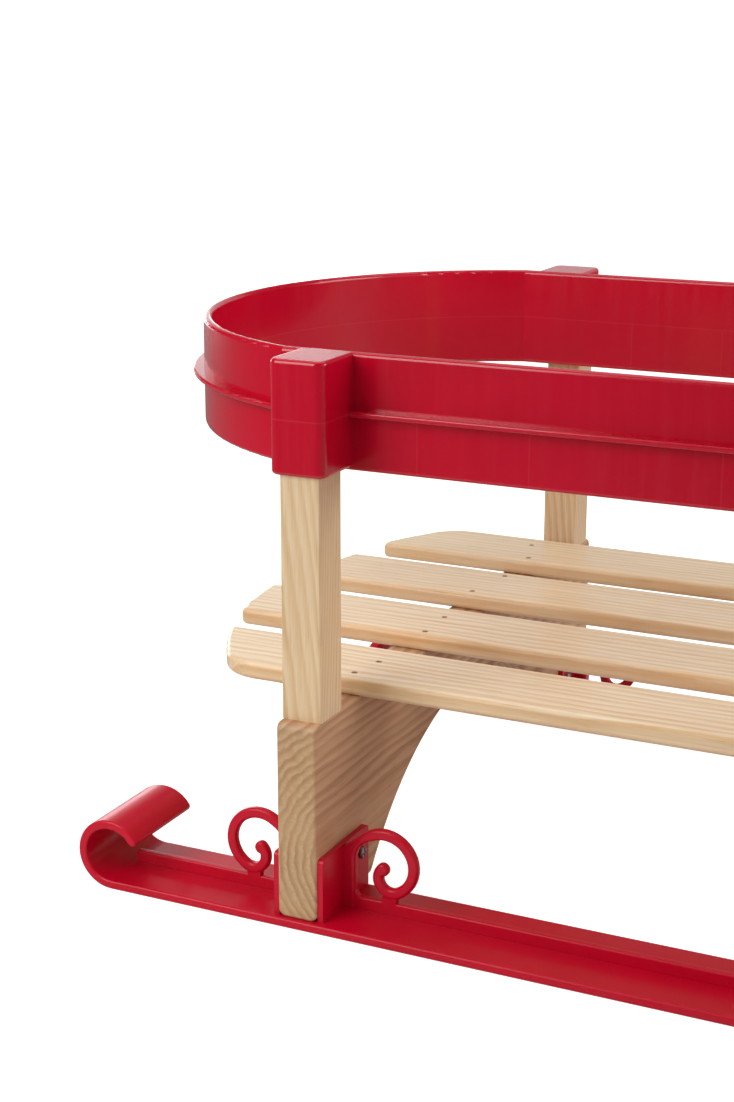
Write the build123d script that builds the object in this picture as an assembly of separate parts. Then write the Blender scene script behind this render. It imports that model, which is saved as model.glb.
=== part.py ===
"""Toddler's toboggan: a slatted wooden seat on two wooden trestles, four wooden posts that carry
a moulded guard ring, and two moulded plastic runners with scroll brackets at each foot.

Millimetres. The ground is z = 0, the front is -X and the rider's left is -Y. The origin is on
the ground under the middle of the toboggan."""

from build123d import *
import math
import os

os.makedirs("parts", exist_ok=True)

# Driving dimensions
trestle_spacing = 440.0    # middle of the front trestle to middle of the rear one
post_outer_width = 400.0   # over the outer faces of a left and a right post
board_thickness = 22.4     # planed board that the trestles are cut from
trestle_top = 113.0
slat_thickness = 10.0
ring_top = 300.0
sole_thickness = 5.0
trestle_x = trestle_spacing / 2

# Trestles: one arched board each
trestle_half_width = 207.0
arch_radius = 175.0
arch_apex = 77.0
trestle_corner_radius = 4.0
foot_toe_radius = 4.0      # bottom edges of a foot, along its bracket plates
trestle_edge_radius = 1.5

# Posts and the dowels that stand them on the trestles
post_length_x = 22.4
post_length_y = 24.0
post_y = post_outer_width / 2 - post_length_y / 2
post_edge_radius = 1.0
post_in_socket = 54.0
dowel_diameter = 10.0
dowel_length = 50.0

# Seat: four slats cut to one rounded outline
slat_width = 55.0
slat_pitch = 85.0
seat_overhang = 117.5      # seat's end beyond the middle of a trestle
seat_end_radius = 270.0
seat_corner_radius = 28.0
slat_corner_radius = 4.0
slat_edge_radius = 3.0
slat_centres = {
    "slat_outer_left": -1.5 * slat_pitch,
    "slat_inner_left": -0.5 * slat_pitch,
    "slat_inner_right": 0.5 * slat_pitch,
    "slat_outer_right": 1.5 * slat_pitch,
}
slat_set_back = 6.0        # the inner right slat is nailed on a little further back

# Nails that hold the slats, two at each crossing, set just under the surface
nail_diameter = 1.8
nail_head_diameter = 3.6
nail_head_thickness = 0.8
nail_length = 30.0
nail_sink = 0.4
# Where each slat's two nails were driven: how far from the trestle's middle towards the
# toboggan's middle, and how far to the right of the slat's middle
nail_offsets = {
    "slat_outer_left": ((3.5, -18), (7.5, 4)),
    "slat_inner_left": ((8, -21), (7, 9)),
    "slat_inner_right": ((1, -20), (6.5, 19)),
    "slat_outer_right": ((4.5, -20), (-5, 10)),
}

# Guard ring: a moulded band with a bead round its middle and four post sockets
ring_height = 60.4
ring_wall = 5.0
ring_half_width = 169.5
ring_end_radius = 181.5
ring_end_centre_x = trestle_x - 39.6
ring_edge_radius = 2.2
bead_thickness = 3.0
bead_reach = 6.0
socket_length_x = 31.0
socket_set_out = 0.8       # socket's middle beyond the post's middle
socket_outer_y = 202.5
socket_lift = 2.0          # socket's foot above the ring's bottom edge
socket_corner_radius = 5.5
socket_edge_radius = 2.0
socket_clearance = 0.1

# Runners: sole, front curl, middle rib and the brackets at each foot
runner_y = 180.5
runner_width = 59.0
rib_y = 180.0
runner_edge_radius = 1.4
sole_tail_x = trestle_x + 115.0
tail_corner_radius = 14.0
curl_centre_x = -trestle_x - 114.0
curl_radius = 20.0
curl_wrap = 235.0
rib_thickness = 4.0
rib_top = 12.0
rib_tail_gap = 25.0
plate_thickness = 3.2
plate_near_y = 205.5
plate_far_y = 151.0
plate_top = 40.0
plate_corner_radius = 2.5

# Scroll in the plane of the rib, measured from the middle of the trestle
scroll_depth = 5.0
scroll_width = 5.9
scroll_centre_x = 38.0
scroll_centre_z = 32.6
front_scroll_centre_x = 36.4
front_scroll_centre_z = 31.4
scroll_radius = 16.8
scroll_bar_inner_x = 21.4
scroll_shoulder_radius = 12.4
scroll_heel_radius = 3.0
scroll_edge_radius = 1.8
hook_start = -62.0
hook_turn = 158.0
hook_radius = 7.8
knob_from_centre_x = -0.9
knob_from_centre_z = -3.0
knob_radius = 3.6

# Screws that hold each foot between its two bracket plates
screw_y = 160.0
screw_z = 27.0
screw_diameter = 3.5
screw_length = 14.0
screw_head_diameter = 7.0
screw_head_height = 2.2


def save(node, shape):
    """Write one node to its own STEP file."""
    export_step(shape, f"parts/{node}.step")


def left_to_right(shape):
    """The same piece on the other side of the toboggan."""
    return mirror(shape, about=Plane.XZ)


def cylinder_along(axis_plane, radius, length):
    """A cylinder from the plane's origin along its normal."""
    return extrude(axis_plane * Circle(radius), length)


# ---- Fasteners -------------------------------------------------------------------------------

def nail(x, y):
    """One flat-headed nail through a slat into the trestle below it."""
    top = trestle_top + slat_thickness - nail_sink
    plane = Plane(origin=(x, y, top), z_dir=(0, 0, -1))
    head = cylinder_along(plane, nail_head_diameter / 2, nail_head_thickness)
    shank = cylinder_along(plane, nail_diameter / 2, nail_length)
    point_plane = plane.offset(nail_length)
    point = Solid.make_cone(nail_diameter / 2, 0.2, nail_diameter, plane=point_plane)
    return head + shank + point


def nail_bore(x, y):
    """The hole that a nail fills, open to the slat's top face."""
    top = trestle_top + slat_thickness
    sink = cylinder_along(Plane(origin=(x, y, top - nail_sink)), nail_head_diameter / 2, 1)
    return nail(x, y) + sink


def nail_places(crossing_x, name):
    """The two nails of one slat on one trestle."""
    inward = -math.copysign(1, crossing_x)
    for offset_x, offset_y in nail_offsets[name]:
        yield crossing_x + inward * offset_x, slat_centres[name] + offset_y


def dowel(x, y):
    """The dowel between a post and its trestle."""
    plane = Plane(origin=(x, y, trestle_top - dowel_length / 2))
    pin = cylinder_along(plane, dowel_diameter / 2, dowel_length)
    return chamfer(pin.edges().filter_by(GeomType.CIRCLE), 1)


def foot_screw(x, y, side):
    """One round-headed screw through a bracket plate; side is +1 on the plate's rear side."""
    face_x = x + side * (board_thickness / 2 + plate_thickness)
    outward = Plane(origin=(face_x, y, screw_z), z_dir=(side, 0, 0))
    head = cylinder_along(outward, screw_head_diameter / 2, screw_head_height)
    rim = head.edges().group_by(Axis.X)[-1 if side > 0 else 0]
    head = fillet(rim, screw_head_height * 0.7)
    slot = Box(2 * screw_head_height, 1, screw_head_diameter)
    cross = slot + Box(2 * screw_head_height, screw_head_diameter, 1)
    recess = Pos(face_x + side * (2 * screw_head_height - 0.4), y, screw_z) * cross
    return foot_screw_bore(x, y, side) + (head - recess)


def foot_screw_bore(x, y, side):
    """The hole that a foot screw's shank fills."""
    face_x = x + side * (board_thickness / 2 + plate_thickness)
    inward = Plane(origin=(face_x, y, screw_z), z_dir=(-side, 0, 0))
    return cylinder_along(inward, screw_diameter / 2, screw_length)


# ---- Wooden parts ----------------------------------------------------------------------------

def trestle(x):
    """An arched board with two feet, bored for its dowels, nails and foot screws."""
    height = trestle_top - sole_thickness
    middle_z = sole_thickness + height / 2
    outline = Pos(0, middle_z) * Rectangle(2 * trestle_half_width, height)
    outline -= Pos(0, arch_apex - arch_radius) * Circle(arch_radius)
    board = extrude(Plane.YZ.offset(x) * outline, board_thickness / 2, both=True)
    corners = board.edges().filter_by(Axis.X).group_by(Axis.Z)[-1]
    board = fillet(corners, trestle_corner_radius)
    toes = board.edges().filter_by(Axis.Y).group_by(Axis.Z)[0]
    board = fillet(toes, foot_toe_radius)
    above_toes = sole_thickness + foot_toe_radius
    edges = [edge for edge in board.faces().filter_by(Axis.X).edges()
             if edge.center().Z > above_toes]
    edges += board.faces().filter_by(Axis.Y).edges().filter_by(GeomType.CIRCLE)
    edges += board.faces().filter_by(Axis.Y).edges().filter_by(Axis.X).group_by(Axis.Z)[0]
    board = fillet(edges, trestle_edge_radius)
    for side_y in (-1, 1):
        board -= dowel(x, side_y * post_y)
        for side_x in (-1, 1):
            board -= foot_screw_bore(x, side_y * screw_y, side_x)
    for name in slat_centres:
        for nail_x, nail_y in nail_places(x, name):
            board -= nail(nail_x, nail_y)
    return board


def post(x, y):
    """A square post from the trestle up into its socket, bored for the dowel."""
    height = ring_top - ring_height + post_in_socket - trestle_top
    blank = Pos(x, y, trestle_top + height / 2) * Box(post_length_x, post_length_y, height)
    blank = fillet(blank.edges().filter_by(Axis.Z), post_edge_radius)
    return blank - dowel(x, y)


def seat_outline():
    """Plan of the whole seat: straight sides, bowed ends and rounded corners."""
    half_width = slat_centres["slat_outer_right"] + slat_width / 2
    tip = trestle_x + seat_overhang
    drop = seat_end_radius - math.sqrt(seat_end_radius**2 - half_width**2)
    corner_x = tip - drop
    left = Line((-corner_x, -half_width), (corner_x, -half_width))
    rear = ThreePointArc((corner_x, -half_width), (tip, 0), (corner_x, half_width))
    right = Line((corner_x, half_width), (-corner_x, half_width))
    front = ThreePointArc((-corner_x, half_width), (-tip, 0), (-corner_x, -half_width))
    outline = make_face([left, rear, right, front])
    return fillet(outline.vertices(), seat_corner_radius)


def slat(name, set_back):
    """One slat: a strip of the seat's outline with eased corners and edges."""
    centre_y = slat_centres[name]
    length = 2 * (trestle_x + seat_overhang)
    strip = seat_outline() & Pos(0, centre_y) * Rectangle(length, slat_width)
    seat_edge = 1.5 * slat_pitch + slat_width / 2
    corners = [v for v in strip.vertices() if abs(abs(v.Y - centre_y) - slat_width / 2) < 0.01
               and abs(v.Y) < seat_edge - 0.01]
    strip = fillet(corners, slat_corner_radius)
    board = extrude(Plane.XY.offset(trestle_top) * strip, slat_thickness)
    board = fillet(board.faces().filter_by(Axis.Z).edges(), slat_edge_radius)
    board = Pos(set_back, 0, 0) * board
    for crossing_x in (-trestle_x, trestle_x):
        for nail_x, nail_y in nail_places(crossing_x, name):
            board -= nail_bore(nail_x, nail_y)
    return board


# ---- Guard ring ------------------------------------------------------------------------------

def ring_plan(reach):
    """Plan of the ring, grown outwards by reach: straight sides and round ends."""
    half_width = ring_half_width + reach
    radius = ring_end_radius + reach
    kink = ring_end_centre_x + math.sqrt(radius**2 - half_width**2)
    tip = ring_end_centre_x + radius
    left = Line((-kink, -half_width), (kink, -half_width))
    rear = ThreePointArc((kink, -half_width), (tip, 0), (kink, half_width))
    right = Line((kink, half_width), (-kink, half_width))
    front = ThreePointArc((-kink, half_width), (-tip, 0), (-kink, -half_width))
    return make_face([left, rear, right, front])


def ring_band(inner_reach, outer_reach, bottom, height, edge_radius):
    """A level band between two offsets of the ring's plan, with eased top and bottom edges."""
    plan = ring_plan(outer_reach) - ring_plan(inner_reach)
    band = extrude(Plane.XY.offset(bottom) * plan, height)
    return fillet(band.faces().filter_by(Axis.Z).edges(), edge_radius)


def socket(x, side):
    """The block outside the ring that a post pushes up into."""
    inner_y = ring_half_width - ring_wall / 2
    depth = socket_outer_y - inner_y
    height = ring_height - socket_lift
    middle_x = x + math.copysign(socket_set_out, x)
    middle = (middle_x, side * (inner_y + depth / 2), ring_top - height / 2)
    block = Pos(*middle) * Box(socket_length_x, depth, height)
    outer = [edge for edge in block.edges().filter_by(Axis.Z) if abs(edge.center().Y) > post_y]
    block = fillet(outer, socket_corner_radius)
    rims = [edge for edge in block.faces().filter_by(Axis.Z).edges()
            if abs(edge.center().Y) > inner_y + 1]
    return fillet(rims, socket_edge_radius)


def socket_bore(x, side):
    """The blind hole in a socket, a light push fit on the post."""
    height = post_in_socket + 1
    middle = (x, side * post_y, ring_top - ring_height + height / 2)
    grow = 2 * socket_clearance
    return Pos(*middle) * Box(post_length_x + grow, post_length_y + grow, height)


def guard_ring():
    """The whole moulding: wall, bead and four sockets."""
    bottom = ring_top - ring_height
    bead_bottom = bottom + (ring_height - bead_thickness) / 2
    ring = ring_band(-ring_wall, 0, bottom, ring_height, ring_edge_radius)
    ring += ring_band(-ring_wall / 2, bead_reach, bead_bottom, bead_thickness, 1)
    for x in (-trestle_x, trestle_x):
        for side in (-1, 1):
            ring += socket(x, side)
            ring -= socket_bore(x, side)
    return ring


# ---- Runners ---------------------------------------------------------------------------------

def sole_and_curl():
    """The flat sole and the curl at its front, across the runner's full width."""
    length = sole_tail_x - curl_centre_x
    sole = Pos(curl_centre_x + length / 2, sole_thickness / 2) * Rectangle(length, sole_thickness)
    middle_radius = curl_radius - sole_thickness / 2
    arc = CenterArc((curl_centre_x, curl_radius), middle_radius, 270, -curl_wrap)
    inner = curl_radius - sole_thickness
    lip_angle = math.radians(270 - curl_wrap)
    lip = Pos(curl_centre_x + middle_radius * math.cos(lip_angle),
              curl_radius + middle_radius * math.sin(lip_angle)) * Circle(sole_thickness / 2)
    ring = Pos(curl_centre_x, curl_radius) * (Circle(curl_radius) - Circle(inner))
    reach = 2 * curl_radius
    cut = make_face(Polyline(
        (curl_centre_x, curl_radius),
        (curl_centre_x, curl_radius - reach),
        (curl_centre_x + reach, curl_radius - reach),
        (curl_centre_x + reach * math.cos(lip_angle),
         curl_radius + reach * math.sin(lip_angle)),
        close=True))
    profile = sole + (ring - cut) + lip
    plane = Plane(origin=(0, -runner_y, 0), x_dir=(1, 0, 0), z_dir=(0, -1, 0))
    body = extrude(plane * profile, runner_width / 2, both=True)
    tail = [edge for edge in body.edges().filter_by(Axis.Z) if edge.center().X > sole_tail_x - 1]
    body = fillet(tail, tail_corner_radius)
    sides = body.faces().filter_by(Axis.Y)
    return fillet(sides.edges(), runner_edge_radius)


def rib():
    """The low rib along the middle of the sole."""
    start = curl_centre_x
    end = sole_tail_x - rib_tail_gap
    height = rib_top - sole_thickness / 2
    length = end - start
    middle = ((start + end) / 2, -rib_y, rib_top - height / 2)
    block = Pos(*middle) * Box(length, rib_thickness, height)
    tail_edge = block.edges().filter_by(Axis.Y).group_by(Axis.Z)[-1].sort_by(Axis.X)[-1]
    block = fillet(tail_edge, height - 1)
    top = block.faces().sort_by(Axis.Z)[-1]
    block = fillet(top.edges().filter_by(Axis.X), 1)
    for foot_x in (-trestle_x, trestle_x):
        seat = Pos(foot_x, -rib_y, sole_thickness + height / 2)
        block -= seat * Box(board_thickness, 2 * rib_thickness, height)
    return block


def plate(foot_x, side):
    """The upright plate against one face of a foot; side is +1 on the rear face."""
    depth = plate_near_y - plate_far_y
    bottom = sole_thickness / 2
    middle = (foot_x + side * (board_thickness + plate_thickness) / 2,
              -(plate_near_y + plate_far_y) / 2, (plate_top + bottom) / 2)
    block = Pos(*middle) * Box(plate_thickness, depth, plate_top - bottom)
    corners = block.edges().filter_by(Axis.X).group_by(Axis.Z)[-1]
    block = fillet(corners, plate_corner_radius)
    return block - foot_screw_bore(foot_x, -screw_y, side)


def scroll_band(centre_x, centre_z, radius, start, sweep):
    """A rounded bar bent in an arc about (centre_x, centre_z), angles in degrees from +X."""
    angle = math.radians(start)
    outward = (math.cos(angle), 0, math.sin(angle))
    along = (-math.sin(angle), 0, math.cos(angle))
    plane = Plane(origin=(centre_x, 0, centre_z), x_dir=outward, z_dir=along)
    outline = RectangleRounded(scroll_width, scroll_depth, scroll_edge_radius)
    section = plane * Pos(radius, 0) * outline
    turn = -1 if sweep > 0 else 1
    return revolve(section, Axis((centre_x, 0, centre_z), (0, turn, 0)), abs(sweep))


def on_circle(centre, radius, angle):
    """The point at an angle, in degrees from +X, on a circle in the scroll's own plane."""
    turned = math.radians(angle)
    return centre[0] + radius * math.cos(turned), centre[1] + radius * math.sin(turned)


def shoulder_end(centre):
    """Where the straight top of a scroll's shoulder runs into its loop, in degrees from +X."""
    inner = scroll_radius - scroll_width / 2
    run = centre[0] - scroll_bar_inner_x - scroll_shoulder_radius
    return 90 + math.degrees(math.asin((inner - scroll_shoulder_radius) / run))


def scroll_bar(centre):
    """The upright beside a plate, its shoulder up to the loop and its heel on the rib."""
    plate_x = board_thickness / 2
    inner = scroll_radius - scroll_width / 2
    outer = scroll_radius + scroll_width / 2
    end = shoulder_end(centre)
    plate_corner = (plate_x + plate_thickness, plate_top - 1)
    rise = plate_corner[1] - centre[1]
    run = centre[0] - plate_corner[0]
    lean = 180 - math.degrees(math.atan2(rise, run))
    touch = lean - math.degrees(math.acos(outer / math.hypot(run, rise)))
    bend = (scroll_bar_inner_x + scroll_shoulder_radius, centre[1])
    outline = make_face([
        Polyline((scroll_bar_inner_x, centre[1]), (scroll_bar_inner_x, sole_thickness),
                 (plate_x, sole_thickness), (plate_x, plate_top - 1), plate_corner,
                 on_circle(centre, outer, touch)),
        ThreePointArc(on_circle(centre, outer, touch),
                      on_circle(centre, outer, (touch + end) / 2),
                      on_circle(centre, outer, end)),
        Polyline(on_circle(centre, outer, end), on_circle(centre, inner, end),
                 on_circle(bend, scroll_shoulder_radius, end)),
        ThreePointArc(on_circle(bend, scroll_shoulder_radius, end),
                      on_circle(bend, scroll_shoulder_radius, (end + 180) / 2),
                      (scroll_bar_inner_x, centre[1])),
    ])
    bar = extrude(Plane.XZ * outline, scroll_depth / 2, both=True)
    sides = bar.faces().filter_by(Axis.Y)
    eased = [edge for edge in sides.edges() if edge.center().X > plate_corner[0] + 1
             and edge.center().Z > sole_thickness + 1
             and not on_end_face(edge, centre, end)]
    bar = fillet(eased, scroll_edge_radius)
    side = scroll_heel_radius + 1
    corner_x = scroll_bar_inner_x + scroll_heel_radius
    corner_z = rib_top + scroll_heel_radius
    heel = Pos(corner_x - side / 2, corner_z - side / 2) * Rectangle(side, side)
    heel -= Pos(corner_x, corner_z) * Circle(scroll_heel_radius)
    return bar + extrude(Plane.XZ * heel, rib_thickness / 2, both=True)


def on_end_face(edge, centre, end):
    """Whether an edge lies across the loop's width where the shoulder runs into it."""
    middle_x, middle_z = on_circle(centre, scroll_radius, end)
    return math.hypot(edge.center().X - middle_x, edge.center().Z - middle_z) < 0.1


def scroll(centre):
    """A scroll behind a foot: bar, loop, hook and knob, about the foot's own middle."""
    hook_x, hook_z = on_circle(centre, scroll_radius - hook_radius, hook_start)
    loop_turn = shoulder_end(centre) - hook_start
    loop = scroll_band(*centre, scroll_radius, hook_start, loop_turn)
    hook = scroll_band(hook_x, hook_z, hook_radius, hook_start, -hook_turn)
    knob_middle = (centre[0] + knob_from_centre_x, scroll_depth / 2,
                   centre[1] + knob_from_centre_z)
    knob_plane = Plane(origin=knob_middle, z_dir=(0, -1, 0))
    knob = cylinder_along(knob_plane, knob_radius, scroll_depth)
    knob = fillet(knob.edges().filter_by(GeomType.CIRCLE), scroll_edge_radius)
    stem = Pos(hook_x - 1, 0, rib_top) * Box(8, rib_thickness, 6)
    return scroll_bar(centre) + loop + hook + knob + stem


def placed_scroll(foot_x, side):
    """A scroll against a foot's rear plate (+1), or one turned about against the front one."""
    if side > 0:
        shape = scroll((scroll_centre_x, scroll_centre_z))
    else:
        shape = scroll((front_scroll_centre_x, front_scroll_centre_z))
        shape = mirror(shape, about=Plane.YZ)
    return Pos(foot_x, -rib_y, 0) * shape


def runner():
    """The left runner, one moulding."""
    body = sole_and_curl()
    body += rib()
    for foot_x in (-trestle_x, trestle_x):
        for side in (-1, 1):
            body += plate(foot_x, side)
            body += placed_scroll(foot_x, side)
    return body


# ---- The toboggan ----------------------------------------------------------------------------

for end, end_x in (("front", -trestle_x), ("rear", trestle_x)):
    save(f"trestle_{end}", trestle(end_x))
    nails = [nail(x, y) for name in slat_centres for x, y in nail_places(end_x, name)]
    save(f"slat_nails_{end}", Compound(nails))
    for hand, side_y in (("left", -1), ("right", 1)):
        save(f"post_{end}_{hand}", post(end_x, side_y * post_y))
        save(f"post_dowel_{end}_{hand}", dowel(end_x, side_y * post_y))
        screws = [foot_screw(end_x, side_y * screw_y, side_x) for side_x in (-1, 1)]
        save(f"foot_screws_{end}_{hand}", Compound(screws))

for name in slat_centres:
    save(name, slat(name, slat_set_back if name == "slat_inner_right" else 0))

save("guard_ring", guard_ring())

left_runner = runner()
save("runner_left", left_runner)
save("runner_right", left_to_right(left_runner))
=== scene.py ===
import math

import bpy
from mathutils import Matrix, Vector

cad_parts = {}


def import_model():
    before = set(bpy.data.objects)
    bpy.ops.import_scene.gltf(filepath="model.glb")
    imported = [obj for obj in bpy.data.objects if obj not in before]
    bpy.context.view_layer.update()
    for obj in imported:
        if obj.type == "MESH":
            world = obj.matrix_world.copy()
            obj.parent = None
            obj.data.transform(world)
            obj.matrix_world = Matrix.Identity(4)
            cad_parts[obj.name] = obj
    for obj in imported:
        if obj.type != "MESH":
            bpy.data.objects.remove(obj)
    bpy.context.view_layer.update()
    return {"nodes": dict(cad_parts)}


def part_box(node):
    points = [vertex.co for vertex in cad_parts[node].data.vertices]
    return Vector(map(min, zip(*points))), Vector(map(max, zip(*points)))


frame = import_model()
nodes = frame["nodes"]

# Colours, as linear red, green and blue. Early wood is the pale part of a growth ring and late
# wood its dark line; a tint multiplies them where a board's end grain is seen, and painted
# shade darkens them on a slat's long edges
slat_early = (0.92, 0.757, 0.53)
slat_late = (0.76, 0.465, 0.205)
slat_end_tint = (0.9, 0.85, 0.8)
# Painted shade: this darkens and browns the slats' long, upright edges
slat_edge_painted_shade = (0.93, 0.85, 0.76)
trestle_early = (0.66, 0.385, 0.21)
trestle_late = (0.39, 0.185, 0.085)
trestle_end_tint = (0.90, 1.0, 0.97)
post_early = (0.83, 0.635, 0.41)
post_late = (0.62, 0.38, 0.175)
dowel_early = (0.66, 0.46, 0.28)
dowel_late = (0.52, 0.34, 0.19)
plastic_red = (0.55, 0.0003, 0.020)
plastic_deep_red = (0.50, 0.0002, 0.016)
plastic_scuffed = (0.56, 0.012, 0.035)
plastic_line = (0.60, 0.03, 0.05)
nail_dark = (0.17, 0.085, 0.03)
nail_bright = (0.42, 0.25, 0.11)
screw_dark = (0.24, 0.20, 0.19)
screw_bright = (0.40, 0.36, 0.34)

# Widths of one growth ring, in metres
slat_ring = 0.0059
trestle_ring = 0.0045
post_ring = 0.0023
dowel_ring = 0.003

# Noise scales in wood, from the broadest to the finest, and the share of them that is left
# along the grain
blotch_scale = 12
bend_scale = 18
contrast_scale = 45
ripple_scale = 110
streak_scale = 480
fibre_scale = 1300
pore_scale = 2200
ring_share = 0.16
fibre_share = 0.02

# How many rings the fine ripples shift a line, and the depth of planed wood's relief, in metres
ripple_turns = 1.1
wood_relief = 0.0003

# Noise scales on plastic and steel, and the share left along a scuff
cloud_scale = 16
waviness_scale = 22
scuff_scale = 240
peel_scale = 260
scuff_share = 0.06
steel_cloud_scale = 900
steel_grit_scale = 2500

# Depths of the relief on plastic and steel, in metres
plastic_relief = 0.0006
steel_relief = 0.0001

# The lines that the mould left on the guard ring: their half widths, and how far from the
# middle the upright ones stand, in metres
parting_half_width = 0.0005
seam_half_width = 0.0006
ring_seams = (0.015, 0.1105, 0.170)


# ---- Node helpers ----------------------------------------------------------------------------

class Graph:
    """One procedural material and short ways to add nodes to it."""

    def __init__(self, name):
        self.material = bpy.data.materials.new(name)
        self.material.use_nodes = True
        self.tree = self.material.node_tree
        self.tree.nodes.clear()
        self.surface = self.add("ShaderNodeBsdfPrincipled")
        self.output = self.add("ShaderNodeOutputMaterial")
        self.link(self.surface.outputs["BSDF"], self.output.inputs["Surface"])
        self.place = self.add("ShaderNodeTexCoord").outputs["Object"]

    def link(self, source, target):
        self.tree.links.new(source, target)

    def set(self, socket, value):
        """A socket takes another node's output or a plain value."""
        if isinstance(value, bpy.types.NodeSocket):
            self.link(value, socket)
        else:
            socket.default_value = value

    def add(self, kind, inputs=None, **settings):
        made = self.tree.nodes.new(kind)
        for name, value in settings.items():
            setattr(made, name, value)
        for name, value in (inputs or {}).items():
            self.set(made.inputs[name], value)
        return made

    def math(self, operation, a, b=0.0, clamp=False):
        made = self.add("ShaderNodeMath", {0: a, 1: b}, operation=operation, use_clamp=clamp)
        return made.outputs["Value"]

    def vector(self, operation, a, b=(0, 0, 0)):
        made = self.add("ShaderNodeVectorMath", {0: a, 1: b}, operation=operation)
        return made.outputs["Value" if operation == "LENGTH" else "Vector"]

    def part(self, vector, index):
        """One of a vector's three parts."""
        made = self.add("ShaderNodeSeparateXYZ", {"Vector": vector})
        return made.outputs[index]

    def noise(self, place, scale, detail=2.0, roughness=0.5):
        made = self.add("ShaderNodeTexNoise", {"Vector": place, "Scale": scale,
                                               "Detail": detail, "Roughness": roughness})
        return made.outputs["Fac"]

    def ramp(self, value, stops):
        """Straight slopes from one (position, level) stop to the next."""
        made = self.add("ShaderNodeValToRGB", {"Fac": value})
        elements = made.color_ramp.elements
        while len(elements) < len(stops):
            elements.new(0.5)
        for element, (position, level) in zip(elements, stops):
            element.position = position
            element.color = (level, level, level, 1)
        return made.outputs["Color"]

    def mix(self, factor, a, b, blend="MIX"):
        made = self.add("ShaderNodeMix", data_type="RGBA", blend_type=blend)
        self.set(made.inputs["Factor"], factor)
        self.set(made.inputs["A"], a if isinstance(a, bpy.types.NodeSocket) else (*a, 1))
        self.set(made.inputs["B"], b if isinstance(b, bpy.types.NodeSocket) else (*b, 1))
        return made.outputs["Result"]

    def bump(self, height, strength, distance):
        made = self.add("ShaderNodeBump", {"Height": height, "Strength": strength,
                                           "Distance": distance})
        self.link(made.outputs["Normal"], self.surface.inputs["Normal"])

    def finish(self, **inputs):
        """Sets the surface's own inputs by name, with _ for a space."""
        for name, value in inputs.items():
            socket = self.surface.inputs[name.replace("_", " ")]
            if name.endswith("Color") and not isinstance(value, bpy.types.NodeSocket):
                value = (*value, 1)
            self.set(socket, value)
        return self.material


# ---- Materials -------------------------------------------------------------------------------

def drawn_out(graph, place, axis, share):
    """A place with one axis shrunk to a share, so that noise at it is drawn out along the axis."""
    factors = [1, 1, 1]
    factors[axis] = share
    return graph.vector("MULTIPLY", place, factors)


def growth_rings(graph, stretched, along, pith, spacing, sway, lean):
    """How dark the growth rings make the wood: 0 in early wood, up to 1 in a late line."""
    from_pith = graph.vector("SUBTRACT", graph.place, pith)
    radius = graph.vector("LENGTH", drawn_out(graph, from_pith, along, 0))
    slope = graph.math("MULTIPLY", graph.part(graph.place, along), lean)
    turns = graph.math("DIVIDE", graph.math("ADD", radius, slope), spacing)
    bend = graph.math("MULTIPLY", graph.noise(stretched, bend_scale, 2), 2 * sway)
    ripple = graph.math("MULTIPLY", graph.noise(stretched, ripple_scale, 3), ripple_turns)
    turns = graph.math("ADD", graph.math("ADD", turns, bend), ripple)
    # Each ring starts pale, is darkest at three quarters of its width and fades quickly
    year = graph.math("FRACT", turns)
    ring = graph.ramp(year, [(0.0, 0.15), (0.08, 0.0), (0.3, 0.08), (0.6, 0.7), (0.76, 1.0),
                             (0.9, 0.8), (1.0, 0.15)])
    contrast = graph.noise(stretched, contrast_scale, 2)
    return graph.math("MULTIPLY", ring, graph.ramp(contrast, [(0.3, 0.5), (0.6, 1.0)]))


def tinted(graph, colour, axis, tint):
    """A colour times a tint on the faces that are square to an axis; on a slat's long edges the
    tint is painted shade.
    """
    facing = graph.add("ShaderNodeNewGeometry").outputs["Normal"]
    square_on = graph.math("ABSOLUTE", graph.part(facing, axis))
    share = graph.ramp(square_on, [(0.6, 0.0), (0.85, 1.0)])
    return graph.mix(share, colour, graph.mix(1.0, colour, tint, "MULTIPLY"))


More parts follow.
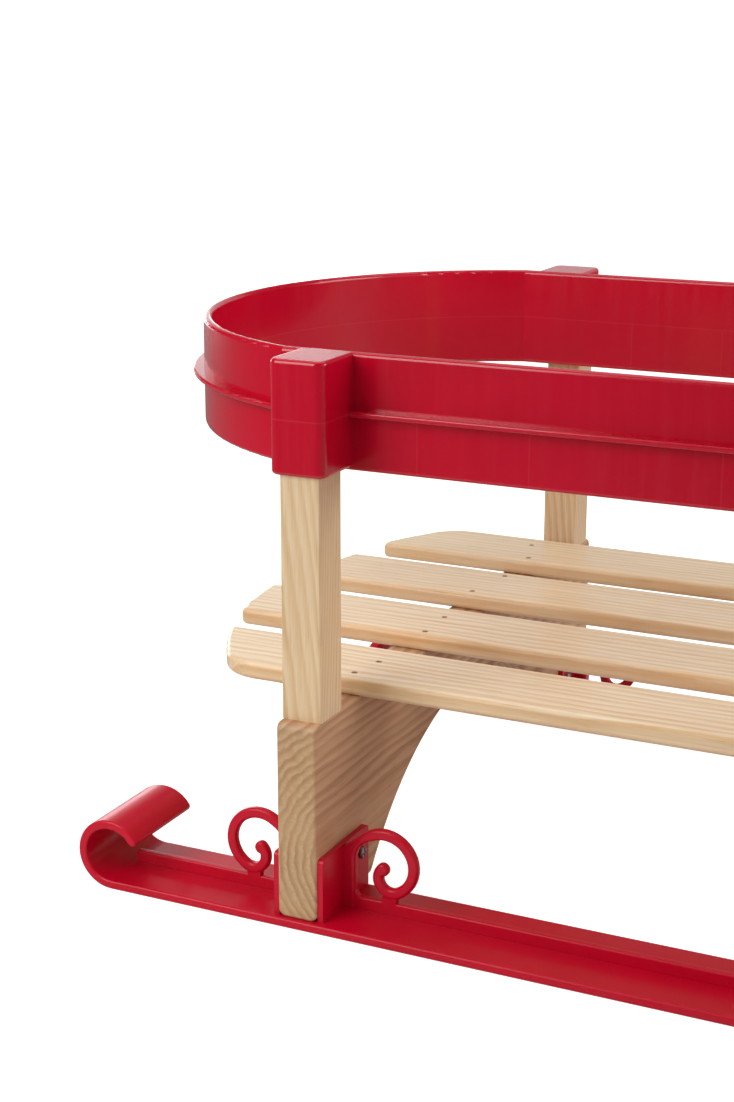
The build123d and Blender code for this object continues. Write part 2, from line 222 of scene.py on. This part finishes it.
def wood(name, along, pith, spacing, early, late, seed, sway=1.0, lean=0.0, gloss=0.4,
         varnish=0.3, tints=()):
    """Planed wood: growth rings about a pith line, fibres, pores and a clear varnish.

    along is the index of the grain's axis, pith a point on the pith line and spacing the width
    of one ring, in metres; sway is how many rings the lines wander, lean their slope along the
    grain, and tints are (axis, tint) pairs for end grain and for painted shade on a board's long
    edges."""
    graph = Graph(name)
    shifted = graph.vector("ADD", graph.place, (seed, seed * 0.7, seed * 1.3))
    stretched = drawn_out(graph, shifted, along, ring_share)
    drawn = drawn_out(graph, shifted, along, fibre_share)

    ring = growth_rings(graph, stretched, along, pith, spacing, sway, lean)
    fibres = graph.noise(drawn, fibre_scale, 3, 0.65)
    streaks = graph.noise(drawn, streak_scale, 2)
    pores = graph.ramp(graph.noise(drawn, pore_scale, 1), [(0.64, 0.0), (0.72, 1.0)])
    blotch = graph.noise(stretched, blotch_scale, 2)

    halfway = tuple((a + b) / 2 for a, b in zip(early, late))
    warm = (early[0] * 0.98, early[1] * 0.9, early[2] * 0.76)
    pore_dark = tuple(0.6 * channel for channel in late)
    colour = graph.mix(ring, early, late)
    colour = graph.mix(graph.ramp(streaks, [(0.42, 0.0), (0.7, 0.55)]), colour, halfway)
    colour = graph.mix(graph.ramp(blotch, [(0.4, 0.0), (0.65, 0.45)]), colour, warm)
    colour = graph.mix(graph.math("MULTIPLY", pores, 0.4), colour, pore_dark)
    colour = graph.mix(1.0, colour, graph.ramp(fibres, [(0.3, 0.88), (0.7, 1.0)]), "MULTIPLY")
    # End grain gets the wood's own darker tone; a slat's long edges get painted shade
    for axis, tint in tints:
        colour = tinted(graph, colour, axis, tint)

    height = graph.math("SUBTRACT", graph.math("MULTIPLY", fibres, 0.6),
                        graph.math("MULTIPLY", pores, 0.8))
    height = graph.math("ADD", height, graph.math("MULTIPLY", ring, 0.5))
    graph.bump(height, 0.25, wood_relief)
    rough = graph.ramp(streaks, [(0.3, gloss), (0.7, gloss + 0.12)])
    return graph.finish(Base_Color=colour, Roughness=rough, Coat_Weight=varnish,
                        Coat_Roughness=0.16, Coat_IOR=1.45)


def thin_line(graph, coordinate, place, half_width):
    """1 within half_width of a place on one coordinate, fading to 0 just outside."""
    off = graph.math("ABSOLUTE", graph.math("SUBTRACT", coordinate, place))
    return graph.math("SUBTRACT", 1.0, graph.math("DIVIDE", off, half_width), clamp=True)


def red_plastic(name, parting_z=None, seams=(), gloss=1.0, smoothest=0.17):
    """Glossy red moulded plastic with faint orange peel, scuffs and the mould's lines.

    parting_z is the height of the line where the mould's halves met, seams are how far from the
    middle the upright lines below it stand, and smoothest is the least of the roughness."""
    graph = Graph(name)
    peel = graph.noise(graph.place, peel_scale, 2)
    waviness = graph.noise(graph.place, waviness_scale, 1)
    upright = drawn_out(graph, graph.place, 2, scuff_share)
    drag = graph.noise(upright, scuff_scale, 3, 0.7)
    cloud = graph.noise(graph.place, cloud_scale, 3)
    scuffs = graph.math("MULTIPLY", graph.ramp(drag, [(0.5, 0.0), (0.9, 1.0)]),
                        graph.ramp(cloud, [(0.45, 0.0), (0.65, 1.0)]))
    cloudy = graph.ramp(cloud, [(0.35, 0.0), (0.7, 1.0)])
    colour = graph.mix(cloudy, plastic_red, plastic_deep_red)
    colour = graph.mix(graph.math("MULTIPLY", scuffs, 0.5), colour, plastic_scuffed)
    height = graph.math("ADD", graph.math("MULTIPLY", peel, 0.12), waviness)
    if parting_z:
        level = graph.part(graph.place, 2)
        run = graph.math("ABSOLUTE", graph.part(graph.place, 0))
        lines = thin_line(graph, level, parting_z, parting_half_width)
        below = graph.math("LESS_THAN", level, parting_z)
        for seam in seams:
            mark = graph.math("MULTIPLY", thin_line(graph, run, seam, seam_half_width), below)
            lines = graph.math("MAXIMUM", lines, graph.math("MULTIPLY", mark, 0.8))
        colour = graph.mix(graph.math("MULTIPLY", lines, 0.5), colour, plastic_line)
        height = graph.math("ADD", height, graph.math("MULTIPLY", lines, 0.3))
    graph.bump(height, 0.10, plastic_relief)
    rough = graph.ramp(drag, [(0.4, smoothest), (0.8, smoothest + 0.09)])
    return graph.finish(Base_Color=colour, Roughness=rough, Specular_IOR_Level=0.5 * gloss,
                        Coat_Weight=0.2 * gloss, Coat_Roughness=smoothest / 2)


def steel(name, dark, bright, metallic, smoothest):
    """Steel with a cloudy surface; smoothest is the least of its roughness."""
    graph = Graph(name)
    cloud = graph.noise(graph.place, steel_cloud_scale, 3)
    colour = graph.mix(cloud, dark, bright)
    graph.bump(graph.noise(graph.place, steel_grit_scale, 2), 0.2, steel_relief)
    rough = graph.ramp(cloud, [(0.3, smoothest), (0.7, smoothest + 0.15)])
    return graph.finish(Base_Color=colour, Metallic=metallic, Roughness=rough)


def wear(node, material):
    """Gives a CAD node its material."""
    for slot in nodes[node].material_slots:
        slot.material = material


ring_low, ring_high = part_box("guard_ring")
ring_middle = (ring_low.z + ring_high.z) / 2
wear("guard_ring", red_plastic("ring_plastic", ring_middle, ring_seams))
runner_plastic = red_plastic("runner_plastic", gloss=0.5, smoothest=0.31)
for hand in ("left", "right"):
    wear(f"runner_{hand}", runner_plastic)

# Across and up to each slat's pith line: far to the side, so that its rings cross the top face
# almost square
slat_piths = {
    "slat_outer_left": (-0.300, 0.060),
    "slat_inner_left": (0.120, 0.040),
    "slat_inner_right": (-0.160, 0.050),
    "slat_outer_right": (0.330, 0.070),
}
for number, (node, (pith_y, pith_z)) in enumerate(slat_piths.items()):
    seed = 1.7 * number + 0.3
    wear(node, wood(node + "_wood", 0, (0, pith_y, pith_z), slat_ring, slat_early, slat_late,
                    seed, sway=1.3, varnish=0.5,
                    tints=((0, slat_end_tint), (1, slat_edge_painted_shade))))

# A trestle is sawn beside its pith, which leaves arcs on the feet's outer ends. A post's pith lies
# off one corner, so that one face shows a broad figure and the next one close lines
for end_number, end in enumerate(("front", "rear")):
    low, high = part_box(f"trestle_{end}")
    middle_x = (low.x + high.x) / 2
    pith = (middle_x + 0.045, 0, 0.040)
    seed = 4.1 + end_number
    wear(f"trestle_{end}", wood(f"trestle_{end}_wood", 1, pith, trestle_ring, trestle_early,
                                trestle_late, seed, gloss=0.5, varnish=0.1,
                                tints=((1, trestle_end_tint),)))
    for hand_number, hand in enumerate(("left", "right")):
        low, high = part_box(f"post_{end}_{hand}")
        pith = (middle_x - 0.031, (low.y + high.y) / 2 + 0.051, 0)
        seed = 8.3 + 2 * end_number + hand_number
        wear(f"post_{end}_{hand}", wood(f"post_{end}_{hand}_wood", 2, pith, post_ring,
                                        post_early, post_late, seed, sway=1.6, lean=0.045,
                                        gloss=0.45, varnish=0.2))
        wear(f"post_dowel_{end}_{hand}", wood(f"dowel_{end}_{hand}_wood", 2, pith, dowel_ring,
                                              dowel_early, dowel_late, seed + 5, gloss=0.5,
                                              varnish=0.0))

nail_steel = steel("nail_steel", nail_dark, nail_bright, 0.3, 0.45)
screw_steel = steel("screw_steel", screw_dark, screw_bright, 1.0, 0.3)
for end in ("front", "rear"):
    wear(f"slat_nails_{end}", nail_steel)
    for hand in ("left", "right"):
        wear(f"foot_screws_{end}_{hand}", screw_steel)


# ---- Floor, light and camera -----------------------------------------------------------------

def floor():
    """A plain white studio table, evenly bright to the camera.

    To the toboggan it is paper that gives back less light further out."""
    mesh = bpy.data.meshes.new("studio_floor")
    reach = 200
    corners = [(-reach, -reach, 0), (reach, -reach, 0), (reach, reach, 0), (-reach, reach, 0)]
    mesh.from_pydata(corners, [], [(0, 1, 2, 3)])
    made = bpy.data.objects.new("studio_floor", mesh)
    bpy.context.scene.collection.objects.link(made)
    graph = Graph("studio_floor")
    graph.tree.nodes.remove(graph.surface)
    away = graph.vector("LENGTH", graph.place)
    shade = graph.ramp(away, [(0.35, 0.75), (0.9, 0.22)])
    paper = graph.add("ShaderNodeBsdfDiffuse", {"Color": shade})
    lit = graph.add("ShaderNodeEmission", {"Strength": 0.8})
    white = graph.add("ShaderNodeBsdfDiffuse", {"Color": (0.6, 0.6, 0.6, 1)})
    both = graph.add("ShaderNodeAddShader", {0: lit.outputs[0], 1: white.outputs[0]})
    seen = graph.add("ShaderNodeLightPath").outputs["Is Camera Ray"]
    choose = graph.add("ShaderNodeMixShader", {0: seen, 1: paper.outputs[0], 2: both.outputs[0]})
    graph.link(choose.outputs[0], graph.output.inputs["Surface"])
    mesh.materials.append(graph.material)


def softbox(name, place, aim, width, height, power):
    """A rectangular area light aimed at a point."""
    light = bpy.data.lights.new(name, "AREA")
    light.shape = "RECTANGLE"
    light.size = width
    light.size_y = height
    light.energy = power
    made = bpy.data.objects.new(name, light)
    made.location = place
    made.rotation_euler = (Vector(aim) - Vector(place)).to_track_quat("-Z", "Y").to_euler()
    bpy.context.scene.collection.objects.link(made)


def camera():
    """The photograph's view: 26 degrees round from the side and 15 degrees above."""
    turn = 25.80
    tilt = 15.44
    lens = bpy.data.cameras.new("camera")
    lens.sensor_width = 36
    lens.lens = 64.07
    made = bpy.data.objects.new("camera", lens)
    made.location = (0.2217, -1.0367, 0.4646)
    made.rotation_euler = (math.radians(90 - tilt), 0, math.radians(turn))
    bpy.context.scene.collection.objects.link(made)
    bpy.context.scene.camera = made


def world():
    """White surroundings, dimmer as a light than as a background and dimmest in reflections."""
    strength = 0.46
    changes = {"Is Camera Ray": 0.74, "Is Glossy Ray": -0.4}
    made = bpy.data.worlds.new("studio")
    made.use_nodes = True
    tree = made.node_tree
    background = tree.nodes["Background"]
    background.inputs["Color"].default_value = (1, 1, 1, 1)
    path = tree.nodes.new("ShaderNodeLightPath")
    for ray, change in changes.items():
        step = tree.nodes.new("ShaderNodeMath")
        step.operation = "MULTIPLY_ADD"
        tree.links.new(path.outputs[ray], step.inputs[0])
        step.inputs[1].default_value = change
        if isinstance(strength, bpy.types.NodeSocket):
            tree.links.new(strength, step.inputs[2])
        else:
            step.inputs[2].default_value = strength
        strength = step.outputs["Value"]
    tree.links.new(strength, background.inputs["Strength"])
    bpy.context.scene.world = made


bpy.context.scene.view_settings.view_transform = "Standard"
world()
floor()
softbox("top_softbox", (-0.3, 0.3, 1.6), (-0.1, 0.05, 0.1), 1.4, 1.4, 7)
softbox("key_softbox", (-0.66, -0.80, 0.62), (-0.4, -0.1, 0.2), 0.6, 0.7, 5.7)
softbox("right_softbox", (1.6, -0.5, 0.8), (-0.1, 0, 0.15), 1.0, 1.2, 2)
softbox("rear_right_softbox", (1.7, 0.45, 0.7), (-0.1, 0, 0.15), 1.0, 1.2, 17)
softbox("left_wall", (-2.0, 1.4, 0.30), (-0.2, 0, 0.25), 2.0, 0.55, 13)
softbox("back_wall", (-0.9, 2.2, 0.75), (0, 0, 0.3), 4.0, 1.2, 8)
camera()
